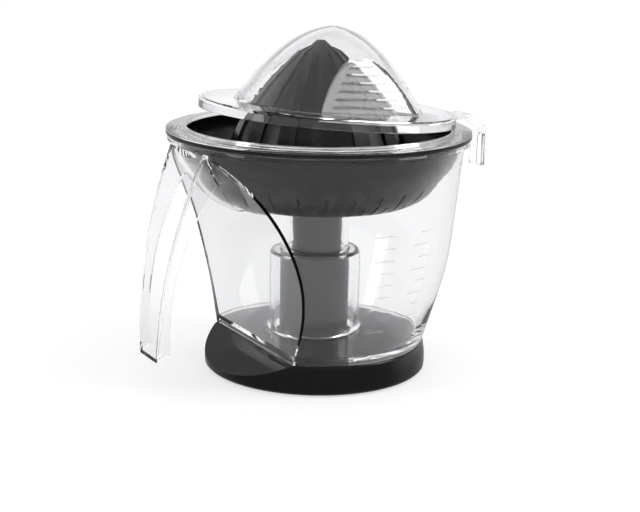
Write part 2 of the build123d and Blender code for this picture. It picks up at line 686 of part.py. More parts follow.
with BuildPart() as reaming_cone:
    revolve(filled_outline(inset(CONE_OUTSIDE, 1.1)))
    revolve(outline([
        (0, 160.0),
        (15.4, 163.2),
        (10.4, 167.6),
        (4.6, 170.4),
        (NUB_TOP_R, NUB_TOP_Z),
        (0, NUB_TOP_Z),
    ]))
    with PolarLocations(0, CONE_RIBS, start_angle=180 / CONE_RIBS):
        add(cone_rib.part)
    revolve(filled_outline(cone_inside), mode=Mode.SUBTRACT)
    extrude(disc(SOCKET_R, COLLAR_TOP_Z + 0.5), amount=160.0 - COLLAR_TOP_Z - 0.5)
    with BuildSketch(Plane.XY.offset(COLLAR_TOP_Z)):
        RegularPolygon(SOCKET_FLATS / 2, 6, major_radius=False)
    extrude(amount=SOCKET_TOP_Z - COLLAR_TOP_Z, mode=Mode.SUBTRACT)

# ---- Splash ring with its covered spout -------------------------------------------------------
with BuildPart() as spout_body:
    with BuildSketch(Plane.XZ):
        with BuildLine():
            Polyline(
                (76.0, RING_BOTTOM_Z),
                (76.0, SPOUT_TOP_Z - 0.6),
                (92.5, SPOUT_TOP_Z),
                (94.5, SPOUT_TOP_Z - 0.5),
                (SPOUT_NOSE_X, 122.4),
                (SPOUT_NOSE_X, 120.6),
                (SPOUT_LIP_X + SPOUT_LIP_R, 119.0),
                (SPOUT_LIP_X + SPOUT_LIP_R, SPOUT_LIP_Z),
                (SPOUT_LIP_X, SPOUT_LIP_Z),
                (SPOUT_LIP_X, 119.0),
                (94.0, 122.6),
                (84.0, 126.2),
                (81.0, RING_BOTTOM_Z),
                close=True,
            )
        make_face()
    extrude(amount=20, both=True)
    with BuildSketch(Plane.XY.offset(95)):
        with BuildLine():
            nose = ThreePointArc((SPOUT_LIP_X, -SPOUT_LIP_R), (SPOUT_NOSE_X, 0), (SPOUT_LIP_X, SPOUT_LIP_R))
            Polyline(nose @ 1, (76, 11.0), (60, 11.0), (60, -11.0), (76, -11.0), nose @ 0)
        make_face()
    extrude(amount=50, mode=Mode.INTERSECT)

with BuildPart() as spout_hollow:
    with BuildSketch(Plane.XZ):
        with BuildLine():
            Polyline(
                (60.0, RING_BOTTOM_Z - 1),
                (60.0, SPOUT_TOP_Z - 2.6),
                (91.7, SPOUT_TOP_Z - SPOUT_WALL),
                (SPOUT_NOSE_X - 2.6, 120.8),
                (SPOUT_LIP_X + SPOUT_LIP_R - SPOUT_WALL, 119.4),
                (SPOUT_LIP_X + SPOUT_LIP_R - SPOUT_WALL, SPOUT_LIP_Z - 1),
                (SPOUT_LIP_X - 8, SPOUT_LIP_Z - 1),
                (SPOUT_LIP_X - 8, 110),
                (60.0, 110),
                close=True,
            )
        make_face()
    extrude(amount=20, both=True)
    with BuildSketch(Plane.XY.offset(95)):
        with BuildLine():
            inner_r = SPOUT_LIP_R - SPOUT_WALL
            hollow_nose = ThreePointArc(
                (SPOUT_LIP_X, -inner_r),
                (SPOUT_LIP_X + inner_r, 0),
                (SPOUT_LIP_X, inner_r),
            )
            Polyline(hollow_nose @ 1, (76, 9.0), (50, 9.0), (50, -9.0), (76, -9.0), hollow_nose @ 0)
        make_face()
    extrude(amount=50, mode=Mode.INTERSECT)

with BuildPart() as splash_ring:
    revolve(outline([
        (RING_IN_R, RING_BOTTOM_Z),
        (FLANGE_R - 2.5, RING_BOTTOM_Z),
        (FLANGE_R, RING_BOTTOM_Z),
        (FLANGE_R, RING_BOTTOM_Z + 0.8),
        (FLANGE_R - 0.6, RING_BOTTOM_Z + 1.1),
        (RING_IN_R + 1.6, 129.6),
        (RING_IN_R + 0.4, 129.9),
        (RING_IN_R, 129.6),
    ]))
    add(spout_body.part)
    add(spout_hollow.part, mode=Mode.SUBTRACT)
    revolve(outline([
        (RING_IN_R, RING_BOTTOM_Z),
        (RING_IN_R + 2.0, RING_BOTTOM_Z),
        (RING_IN_R + 2.0, 129.4),
        (RING_IN_R, 129.6),
    ]))

# ---- Dust lid: dome with two ribbed grip recesses and a beaded flange, lying tilted ----------
grip_lean = (GRIP_BOTTOM_D - GRIP_TOP_D) / GRIP_HEIGHT


def grip_outline(side, deeper):
    """The space outside one grip face, seen from the end."""
    near = side * (GRIP_BOTTOM_D - deeper)
    near_top = near - side * grip_lean * 60
    far = side * 90
    return outline([(near, -9), (near, 0), (near_top, 60), (far, 60), (far, -9)], Plane.YZ)


with BuildPart() as dome_hollow:
    revolve(filled_outline(DOME_INSIDE, LID_BEAD + 1))
    for side in (-1, 1):
        extrude(grip_outline(side, LID_WALL), amount=60, both=True, mode=Mode.SUBTRACT)

with BuildPart() as dome_lid:
    revolve(filled_outline(DOME_OUTSIDE))
    for side in (-1, 1):
        extrude(grip_outline(side, 0), amount=60, both=True, mode=Mode.SUBTRACT)
        for step in range(GRIP_RIBS):
            rib_z = 3.4 + 3.9 * step
            rib_y = side * (GRIP_BOTTOM_D - grip_lean * rib_z)
            rib_half = 0.92 * sqrt((48.0 - 0.72 * rib_z) ** 2 - rib_y**2) - 1.5
            with Locations((0, rib_y, rib_z)):
                Box(2 * rib_half, 1.2, 0.8)
    revolve(outline([
        (0, 0),
        (0, -LID_WALL),
        (LID_R - LID_WALL - 0.6, -LID_WALL),
        (LID_R - LID_WALL, -LID_BEAD),
        (LID_R, -LID_BEAD),
        (LID_R, -0.6),
        (LID_R - 0.6, 0),
    ]))
    add(dome_hollow.part, mode=Mode.SUBTRACT)

lid_place = Location((LID_X, 0, LID_Z), (0, LID_TILT, 0))
dome_lid_placed = dome_lid.part.moved(lid_place)

# ---- Files ------------------------------------------------------------------------------------
pieces = [
    ("base_housing", base_housing.part),
    ("drive_tower", drive_tower.part),
    ("base_plate", base_plate.part),
    ("rubber_feet", rubber_feet.part),
    ("base_screws", base_screws.part),
    ("cable_bushing", cable_bushing.part),
    ("terminal_block", terminal_block.part),
    ("microswitch", microswitch.part),
    ("switch_plunger", switch_plunger.part),
    ("return_spring", return_spring.part),
    ("motor_can", motor_can.part),
    ("stator_coil", stator_coil.part),
    ("motor_end_plate", motor_end_plate.part),
    ("rotor_magnet", rotor_magnet.part),
    ("rotor_shaft", rotor_shaft.part),
    ("gear_housing", gear_housing.part),
    ("gearbox_cover", gearbox_cover.part),
    ("gearbox_screws", gearbox_screws.part),
    ("planet_carrier", planet_carrier.part),
    ("output_spindle", output_spindle.part),
    ("tower_bush", tower_bush.part),
    ("shaft_seal", shaft_seal.part),
    ("jug", jug.part),
    ("strainer", strainer.part),
    ("reaming_cone", reaming_cone.part),
    ("splash_ring", splash_ring.part),
    ("dome_lid", dome_lid_placed),
] + planet_gears

os.makedirs("parts", exist_ok=True)
for piece_name, piece in pieces:
    piece.label = piece_name
    export_step(piece, f"parts/{piece_name}.step")
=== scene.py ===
"""Citrus press juicer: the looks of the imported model, with a plain pale studio around it."""

import json
import logging
import math
from dataclasses import dataclass, field
from enum import Enum

import bpy
from mathutils import Matrix, Vector

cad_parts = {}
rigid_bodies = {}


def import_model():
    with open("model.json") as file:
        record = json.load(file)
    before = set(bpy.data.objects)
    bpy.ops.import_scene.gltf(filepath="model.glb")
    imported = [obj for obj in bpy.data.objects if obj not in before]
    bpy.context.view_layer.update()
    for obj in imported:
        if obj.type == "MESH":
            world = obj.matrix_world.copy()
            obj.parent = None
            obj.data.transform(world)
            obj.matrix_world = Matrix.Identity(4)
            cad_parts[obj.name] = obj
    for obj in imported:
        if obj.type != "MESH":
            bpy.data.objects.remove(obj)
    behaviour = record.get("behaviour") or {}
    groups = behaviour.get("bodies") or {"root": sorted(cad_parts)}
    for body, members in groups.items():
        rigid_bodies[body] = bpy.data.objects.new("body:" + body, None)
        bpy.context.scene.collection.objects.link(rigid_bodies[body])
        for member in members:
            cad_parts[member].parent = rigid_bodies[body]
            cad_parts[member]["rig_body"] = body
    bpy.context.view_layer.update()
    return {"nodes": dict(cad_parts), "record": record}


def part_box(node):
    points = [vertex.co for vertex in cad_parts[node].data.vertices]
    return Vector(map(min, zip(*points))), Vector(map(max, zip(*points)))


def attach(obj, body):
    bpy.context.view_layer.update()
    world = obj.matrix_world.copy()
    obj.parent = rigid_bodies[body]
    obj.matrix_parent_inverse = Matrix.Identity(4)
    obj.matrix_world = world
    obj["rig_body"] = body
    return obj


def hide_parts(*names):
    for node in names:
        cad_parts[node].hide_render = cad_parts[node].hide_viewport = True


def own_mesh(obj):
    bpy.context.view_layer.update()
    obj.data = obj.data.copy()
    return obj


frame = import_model()

LOG = logging.getLogger("juicer")
WELD = 0.000004
FLAT = math.radians(0.4)
RISING = math.radians(40.0)

Color = tuple[float, float, float]


class LineLength(Enum):
    """How much of the full span a measuring line takes."""

    FULL = 1.0
    SHORT = 0.6


# ---- Shader effects ---------------------------------------------------------------------------


class EffectLibrary:
    """Shader node groups that several finishes share, each built once."""

    def __init__(self) -> None:
        """Starts with no group built."""
        self._groups: dict[str, bpy.types.NodeTree] = {}

    def _new(self, name: str, inputs: dict[str, float], outputs: list[str]) -> bpy.types.NodeTree:
        """Makes an empty group with float sockets.

        Args:
            name: The group's name.
            inputs: Socket names and their default values.
            outputs: Socket names.

        Returns:
            The node tree, with its input and output nodes placed.
        """
        tree = bpy.data.node_groups.new(name, "ShaderNodeTree")
        for label, value in inputs.items():
            socket = tree.interface.new_socket(name=label, in_out="INPUT", socket_type="NodeSocketFloat")
            socket.default_value = value
        for label in outputs:
            tree.interface.new_socket(name=label, in_out="OUTPUT", socket_type="NodeSocketFloat")
        tree.nodes.new("NodeGroupInput").name = "In"
        tree.nodes.new("NodeGroupOutput").name = "Out"
        return tree

    @staticmethod
    def _math(tree: bpy.types.NodeTree, operation: str, a: object, b: object) -> bpy.types.NodeSocket:
        """Adds a math node.

        Args:
            tree: The tree to add to.
            operation: The math node's operation.
            a: A socket or a number.
            b: A socket or a number.

        Returns:
            The result's socket.
        """
        node = tree.nodes.new("ShaderNodeMath")
        node.operation = operation
        for index, value in enumerate((a, b)):
            if isinstance(value, bpy.types.NodeSocket):
                tree.links.new(value, node.inputs[index])
            else:
                node.inputs[index].default_value = value
        return node.outputs[0]

    def grain(self) -> bpy.types.NodeTree:
        """Fine moulding grain and slow tone drift: outputs Height and Tone, both about 0.5."""
        if "grain" in self._groups:
            return self._groups["grain"]
        tree = self._new("moulding_grain", {"Fine Scale": 900.0, "Slow Scale": 18.0}, ["Height", "Tone"])
        place = tree.nodes.new("ShaderNodeTexCoord").outputs["Object"]
        for scale, label, detail in (("Fine Scale", "Height", 3.0), ("Slow Scale", "Tone", 2.0)):
            noise = tree.nodes.new("ShaderNodeTexNoise")
            noise.inputs["Detail"].default_value = detail
            tree.links.new(place, noise.inputs["Vector"])
            tree.links.new(tree.nodes["In"].outputs[scale], noise.inputs["Scale"])
            tree.links.new(noise.outputs["Fac"], tree.nodes["Out"].inputs[label])
        self._groups["grain"] = tree
        return tree

    def wear(self) -> bpy.types.NodeTree:
        """Edges rubbed smooth by handling: output Mask is 1 on worn edges."""
        if "wear" in self._groups:
            return self._groups["wear"]
        tree = self._new("edge_wear", {"Sharpness": 14.0, "Breakup Scale": 60.0}, ["Mask"])
        geometry = tree.nodes.new("ShaderNodeNewGeometry")
        edge = self._math(tree, "SUBTRACT", geometry.outputs["Pointiness"], 0.5)
        edge = self._math(tree, "MULTIPLY", edge, tree.nodes["In"].outputs["Sharpness"])
        noise = tree.nodes.new("ShaderNodeTexNoise")
        tree.links.new(tree.nodes.new("ShaderNodeTexCoord").outputs["Object"], noise.inputs["Vector"])
        tree.links.new(tree.nodes["In"].outputs["Breakup Scale"], noise.inputs["Scale"])
        broken = self._math(tree, "MULTIPLY", edge, noise.outputs["Fac"])
        clamp = tree.nodes.new("ShaderNodeClamp")
        tree.links.new(broken, clamp.inputs["Value"])
        tree.links.new(clamp.outputs["Result"], tree.nodes["Out"].inputs["Mask"])
        self._groups["wear"] = tree
        return tree

    def smudges(self) -> bpy.types.NodeTree:
        """Faint handling marks and hairlines: output Haze is 0 on clean areas."""
        if "smudges" in self._groups:
            return self._groups["smudges"]
        tree = self._new("handling_marks", {"Patch Scale": 22.0, "Hairline Scale": 140.0}, ["Haze"])
        place = tree.nodes.new("ShaderNodeTexCoord").outputs["Object"]
        patch = tree.nodes.new("ShaderNodeTexNoise")
        patch.inputs["Detail"].default_value = 4.0
        tree.links.new(place, patch.inputs["Vector"])
        tree.links.new(tree.nodes["In"].outputs["Patch Scale"], patch.inputs["Scale"])
        lines = tree.nodes.new("ShaderNodeTexNoise")
        lines.inputs["Distortion"].default_value = 2.0
        stretch = tree.nodes.new("ShaderNodeMapping")
        stretch.inputs["Scale"].default_value = (1.0, 1.0, 0.08)
        tree.links.new(place, stretch.inputs["Vector"])
        tree.links.new(stretch.outputs["Vector"], lines.inputs["Vector"])
        tree.links.new(tree.nodes["In"].outputs["Hairline Scale"], lines.inputs["Scale"])
        high = self._math(tree, "SUBTRACT", patch.outputs["Fac"], 0.52)
        hair = self._math(tree, "SUBTRACT", lines.outputs["Fac"], 0.6)
        patches = self._math(tree, "MAXIMUM", high, 0.0)
        hairs = self._math(tree, "MAXIMUM", hair, 0.0)
        total = self._math(tree, "ADD", patches, hairs)
        tree.links.new(total, tree.nodes["Out"].inputs["Haze"])
        self._groups["smudges"] = tree
        return tree


EFFECTS = EffectLibrary()


class MaterialBench:
    """A material under construction, with short ways to add nodes."""

    def __init__(self, name: str) -> None:
        """Opens a new material with its Principled shader.

        Args:
            name: The material's name.
        """
        self.material = bpy.data.materials.new(name)
        self.material.use_nodes = True
        self.tree = self.material.node_tree
        self.shader = self.tree.nodes["Principled BSDF"]

    def put(self, **values: object) -> None:
        """Sets constants on the shader's own sockets, named with underscores for spaces."""
        for name, value in values.items():
            self.shader.inputs[name.replace("_", " ")].default_value = value

    def effect(self, group: bpy.types.NodeTree, **values: float) -> bpy.types.Node:
        """Places an effect group with its own values.

        Args:
            group: The effect's node group.
            **values: The group's input values, named with underscores for spaces.

        Returns:
            The group's node.
        """
        node = self.tree.nodes.new("ShaderNodeGroup")
        node.node_tree = group
        for name, value in values.items():
            node.inputs[name.replace("_", " ")].default_value = value
        return node

    def ranged(self, source: bpy.types.NodeSocket, low: float, high: float) -> bpy.types.NodeSocket:
        """Maps a 0 to 1 mask onto a range.

        Args:
            source: The mask's socket.
            low: The value where the mask is 0.
            high: The value where the mask is 1.

        Returns:
            The mapped value's socket.
        """
        node = self.tree.nodes.new("ShaderNodeMapRange")
        node.inputs["To Min"].default_value = low
        node.inputs["To Max"].default_value = high
        self.tree.links.new(source, node.inputs["Value"])
        return node.outputs["Result"]

    def blend(self, mask: bpy.types.NodeSocket, clear: Color, marked: Color) -> bpy.types.NodeSocket:
        """Mixes two colours by a mask and returns the socket.

        Args:
            mask: The socket that chooses between them.
            clear: The colour where the mask is 0.
            marked: The colour where the mask is 1.

        Returns:
            The mixed colour's socket.
        """
        node = self.tree.nodes.new("ShaderNodeMix")
        node.data_type = "RGBA"
        node.inputs["A"].default_value = (*clear, 1.0)
        node.inputs["B"].default_value = (*marked, 1.0)
        self.tree.links.new(mask, node.inputs["Factor"])
        return node.outputs["Result"]

    def feed(self, source: bpy.types.NodeSocket, socket: str) -> None:
        """Links a value to one of the shader's sockets."""
        self.tree.links.new(source, self.shader.inputs[socket])

    def bump(self, height: bpy.types.NodeSocket, strength: float, distance: float) -> None:
        """Feeds a height to the shader's normal through a Bump node.

        Args:
            height: The height's socket.
            strength: How strongly the height tilts the surface.
            distance: How deep the relief is, in metres.
        """
        node = self.tree.nodes.new("ShaderNodeBump")
        node.inputs["Strength"].default_value = strength
        node.inputs["Distance"].default_value = distance
        self.tree.links.new(height, node.inputs["Height"])
        self.tree.links.new(node.outputs["Normal"], self.shader.inputs["Normal"])


# ---- Finishes ---------------------------------------------------------------------------------


@dataclass(frozen=True)
class ClearPlastic:
    """Water-clear moulded plastic."""

    name: str
    tint: Color = (0.94, 0.943, 0.947)
    ior: float = 1.5
    handled: float = 0.06

    def material(self) -> bpy.types.Material:
        """Builds the material."""
        bench = MaterialBench(self.name)
        bench.put(Transmission_Weight=1.0, IOR=self.ior, Metallic=0.0, Base_Color=(*self.tint, 1.0))
        marks = bench.effect(EFFECTS.smudges(), Patch_Scale=26.0, Hairline_Scale=160.0)
        bench.feed(bench.ranged(marks.outputs["Haze"], 0.0, self.handled), "Roughness")
        return bench.material


@dataclass(frozen=True)
class MouldedPlastic:
    """Opaque moulded plastic, from satin to high gloss."""

    name: str
    color: Color
    worn: Color
    roughness: float
    spread: float = 0.06
    grain: float = 0.05
    grain_depth: float = 0.00004
    specular: float = 0.5

    def material(self) -> bpy.types.Material:
        """Builds the material."""
        bench = MaterialBench(self.name)
        bench.put(Metallic=0.0, IOR=1.5, Specular_IOR_Level=self.specular)
        grain = bench.effect(EFFECTS.grain(), Fine_Scale=1400.0, Slow_Scale=24.0)
        wear = bench.effect(EFFECTS.wear(), Sharpness=10.0, Breakup_Scale=90.0)
        bench.feed(bench.blend(wear.outputs["Mask"], self.color, self.worn), "Base Color")
        low, high = self.roughness - self.spread, self.roughness + self.spread
        bench.feed(bench.ranged(grain.outputs["Tone"], low, high), "Roughness")
        bench.bump(grain.outputs["Height"], self.grain, self.grain_depth)
        return bench.material


@dataclass(frozen=True)
class BareMetal:
    """Turned or drawn metal with fine marks."""

    name: str
    color: Color
    dark: Color
    roughness: float
    grain: float = 0.15
    grain_depth: float = 0.00003

    def material(self) -> bpy.types.Material:
        """Builds the material."""
        bench = MaterialBench(self.name)
        bench.put(Metallic=1.0)
        grain = bench.effect(EFFECTS.grain(), Fine_Scale=2200.0, Slow_Scale=60.0)
        bench.feed(bench.blend(grain.outputs["Tone"], self.dark, self.color), "Base Color")
        low, high = self.roughness - 0.1, self.roughness + 0.12
        bench.feed(bench.ranged(grain.outputs["Height"], low, high), "Roughness")
        bench.bump(grain.outputs["Height"], self.grain, self.grain_depth)
        return bench.material


BLACK = (0.0085, 0.0085, 0.0092)
BLACK_WORN = (0.028, 0.028, 0.03)
INK = (0.009, 0.009, 0.0102)
CHARCOAL = (0.095, 0.092, 0.1)
CHARCOAL_WORN = (0.13, 0.127, 0.135)
RUBBER = (0.02, 0.02, 0.02)
RUBBER_WORN = (0.05, 0.05, 0.05)
IVORY = (0.7, 0.66, 0.55)
IVORY_WORN = (0.8, 0.77, 0.68)
SLATE = (0.03, 0.03, 0.033)
SLATE_WORN = (0.07, 0.07, 0.075)
RED = (0.45, 0.03, 0.02)
RED_WORN = (0.55, 0.09, 0.07)
ACETAL = (0.74, 0.72, 0.65)
ACETAL_WORN = (0.85, 0.83, 0.78)


class Palette:
    """Every finish of the press, each material built once."""

    def __init__(self) -> None:
        """Builds the materials."""
        finishes = [
            ClearPlastic("clear_jug", ior=1.42),
            ClearPlastic("clear_ring", tint=(0.985, 0.987, 0.99)),
            ClearPlastic("clear_lid", tint=(0.99, 0.992, 0.994)),
            MouldedPlastic("black_gloss", BLACK, BLACK_WORN, roughness=0.16, grain=0.005, specular=0.32),
            MouldedPlastic("black_strainer", INK, BLACK_WORN, roughness=0.24, grain=0.004, specular=0.2),
            MouldedPlastic("black_cone", BLACK, BLACK_WORN, roughness=0.22, grain=0.004, specular=0.2),
            MouldedPlastic(
                "charcoal_satin", CHARCOAL, CHARCOAL_WORN, roughness=0.42, grain=0.015, specular=0.4
            ),
            MouldedPlastic("black_satin", BLACK, BLACK_WORN, roughness=0.5, grain=0.25),
            MouldedPlastic("rubber", RUBBER, RUBBER_WORN, roughness=0.8, grain=0.5),
            MouldedPlastic("ivory_plastic", IVORY, IVORY_WORN, roughness=0.45, grain=0.2),
            MouldedPlastic("dark_plastic", SLATE, SLATE_WORN, roughness=0.5, grain=0.3),
            MouldedPlastic("red_plastic", RED, RED_WORN, roughness=0.35),
            MouldedPlastic("gear_plastic", ACETAL, ACETAL_WORN, roughness=0.4, grain=0.15),
            BareMetal("steel", (0.62, 0.62, 0.63), (0.5, 0.5, 0.51), 0.3),
            BareMetal("spring_steel", (0.45, 0.45, 0.47), (0.34, 0.34, 0.36), 0.35),
            BareMetal("motor_steel", (0.5, 0.51, 0.53), (0.4, 0.41, 0.42), 0.42),
            BareMetal("magnet", (0.09, 0.09, 0.1), (0.05, 0.05, 0.055), 0.6),
            BareMetal("copper_coil", (0.62, 0.26, 0.12), (0.45, 0.16, 0.07), 0.35),
        ]
        self.by_slot = {finish.name: finish.material() for finish in finishes}

    def paint(self, piece: bpy.types.Object, slot: str) -> None:
        """Gives a piece the finish of a material slot.

        Args:
            piece: The object to dress.
            slot: The record's slot name.
        """
        piece.data.materials.clear()
        piece.data.materials.append(self.by_slot[slot])


# ---- Bench tools --------------------------------------------------------------------------------


def alone(piece: bpy.types.Object) -> None:
    """Selects one object and makes it active."""
    bpy.ops.object.select_all(action="DESELECT")
    piece.select_set(True)
    bpy.context.view_layer.objects.active = piece


def merged_copy(node: str, name: str) -> bpy.types.Object:
    """A copy of a CAD node with its loose triangles welded and flat faces made whole.

    Args:
        node: The CAD node's name.
        name: The new piece's name.

    Returns:
        The new object.
    """
    source = frame["nodes"][node]
    piece = bpy.data.objects.new(name, source.data.copy())
    bpy.context.scene.collection.objects.link(piece)
    alone(piece)
    bpy.ops.object.mode_set(mode="EDIT")
    bpy.ops.mesh.select_all(action="SELECT")
    bpy.ops.mesh.remove_doubles(threshold=WELD)
    bpy.ops.mesh.dissolve_limited(angle_limit=FLAT)
    bpy.ops.object.mode_set(mode="OBJECT")
    return piece


def soften(piece: bpy.types.Object, width: float, angle: float = 32.0) -> None:
    """Rounds a piece's sharp edges and smooths the rest.

    Args:
        piece: The object to finish.
        width: The rounding's width in metres.
        angle: Edges sharper than this many degrees are rounded.
    """
    alone(piece)
    bevel = piece.modifiers.new("rounding", "BEVEL")
    bevel.width = width
    bevel.segments = 2
    bevel.limit_method = "ANGLE"
    bevel.angle_limit = math.radians(angle)
    bevel.use_clamp_overlap = True
    bpy.ops.object.modifier_apply(modifier=bevel.name)
    bpy.ops.object.shade_smooth_by_angle(angle=math.radians(angle))
    normals = piece.modifiers.new("flat_faces_first", "WEIGHTED_NORMAL")
    normals.keep_sharp = True
    bpy.ops.object.modifier_apply(modifier=normals.name)


def turned(name: str, profile: tuple, steps: int = 144) -> bpy.types.Object:
    """Draws a ring up, in and back down around the Z axis until its outline closes.

    Args:
        name: The new piece's name.
        profile: The outline's (radius, height) pairs in metres.
        steps: Corners of each ring.

    Returns:
        The new object.
    """
    bpy.ops.object.select_all(action="DESELECT")
    bpy.ops.mesh.primitive_circle_add(vertices=steps, radius=profile[0][0])
    piece = bpy.context.object
    piece.name = name
    bpy.ops.object.mode_set(mode="EDIT")
    bpy.ops.mesh.select_all(action="SELECT")
    bpy.ops.transform.translate(value=(0.0, 0.0, profile[0][1]))
    here = profile[0]
    for radius, height in (*profile[1:], profile[0]):
        bpy.ops.mesh.extrude_region_move(TRANSFORM_OT_translate={"value": (0.0, 0.0, height - here[1])})
        share = radius / here[0]
        bpy.ops.transform.resize(value=(share, share, 1.0), center_override=(0.0, 0.0, height))
        here = (radius, height)
    bpy.ops.mesh.select_all(action="SELECT")
    bpy.ops.mesh.remove_doubles(threshold=WELD)
    bpy.ops.mesh.normals_make_consistent(inside=False)
    bpy.ops.object.mode_set(mode="OBJECT")
    return piece


# ---- Sub-assemblies -----------------------------------------------------------------------------

SLOTS = {row["node"]: row["material_slot"] for row in frame["record"]["subparts"]}


@dataclass
class SubAssembly:
    """Pieces that are made and fitted together; each kind adds its own sizes and pieces."""

    palette: Palette
    nodes: tuple = ()
    pieces: list = field(default_factory=list)

    def build(self) -> None:
        """Models the pieces that stand for CAD nodes; a plain group has none."""

    def dress(self) -> None:
        """Gives every node of the group the finish of its slot."""
        for node in self.nodes:
            self.palette.paint(frame["nodes"][node], SLOTS[node])
            LOG.info("painted %s", node)

    def fit(self, piece: bpy.types.Object, node: str, replace: bool = True) -> None:
        """Hangs a new piece on its node's body, painted like the node.

        Args:
            piece: The new piece.
            node: The CAD node it belongs with.
            replace: Whether the piece stands for the node.
        """
        self.palette.paint(piece, SLOTS[node])
        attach(piece, frame["nodes"][node]["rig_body"])
        if replace:
            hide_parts(node)
        self.pieces.append(piece)
        LOG.info("made %s", piece.name)

    def softened(self, node: str, rounding: float) -> None:
        """Makes the finished moulding of a node, its edges rounded.

        Args:
            node: The CAD node it stands for.
            rounding: The width of the rounded edges in metres.
        """
        piece = merged_copy(node, node + "_moulding")
        soften(piece, rounding)
        self.fit(piece, node)


@dataclass
class BaseUnit(SubAssembly):
    """The round base with its faceted shoulder, and what is screwed or clipped into it."""

    nodes: tuple = (
        "base_housing", "base_plate", "rubber_feet", "base_screws", "cable_bushing",
        "terminal_block", "microswitch", "switch_plunger", "return_spring",
    )
    rounding: float = 0.0004
    spring_foot: float = 0.0029
    spring_keep: float = 0.84

    def build(self) -> None:
        """Rounds the housing's edges, and gives the return spring a welded, smooth-shaded copy with a mesh
        of its own.
        """
        self.softened("base_housing", self.rounding)
        spring = merged_copy("return_spring", "return_spring_coil")
        bpy.ops.object.shade_smooth_by_angle(angle=RISING)
        self.fit(spring, "return_spring")
        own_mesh(spring)


@dataclass
class DriveTower(SubAssembly):
    """The two-step tube over the drive, turned in one go, with its bush and seal."""

    nodes: tuple = ("drive_tower", "tower_bush", "shaft_seal")
    bore: float = 0.0159
    foot: float = 0.0194
    body: float = 0.018
    neck: float = 0.013
    neck_bore: float = 0.0108
    mouth: float = 0.0065
    shoulder: float = 0.062
    deck: float = 0.0158
    rounding: float = 0.0009

    def profile(self) -> tuple:
        """The tube's outline, from the inside of its foot up the outside and down the bore."""
        low, high = (corner[2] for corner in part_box("drive_tower"))
        turn = self.rounding
        return (
            (self.bore, low),
            (self.foot, low),
            (self.foot, self.deck + 0.0006),
            (self.body + 0.0004, self.deck + 0.0016),
            (self.body, self.deck + 0.0024),
            (self.body - 0.0001, self.shoulder - 2 * turn),
            (self.body - 0.3 * turn, self.shoulder - 0.6 * turn),
            (self.body - turn, self.shoulder),
            (self.neck + turn, self.shoulder),
            (self.neck, self.shoulder + 0.6 * turn),
            (self.neck, high - turn),
            (self.neck - 0.4 * turn, high - 0.3 * turn),
            (self.neck - turn, high),
            (self.mouth, high),
            (self.mouth, high - 0.002),
            (self.neck_bore, high - 0.002),
            (self.neck_bore, self.shoulder - 0.002),
            (self.bore, self.shoulder - 0.002),
        )

    def build(self) -> None:
        """Turns the tube."""
        piece = turned("drive_tower_tube", self.profile())
        alone(piece)
        bpy.ops.object.shade_smooth_by_angle(angle=RISING)
        self.fit(piece, "drive_tower")


@dataclass
class DriveUnit(SubAssembly):
    """The sliding motor and planetary gearbox inside the tower."""

    nodes: tuple = (
        "motor_can", "stator_coil", "motor_end_plate", "rotor_magnet", "rotor_shaft", "gear_housing",
        "gearbox_cover", "gearbox_screws", "planet_carrier", "output_spindle",
        "planet_gear_1", "planet_gear_2", "planet_gear_3",
    )


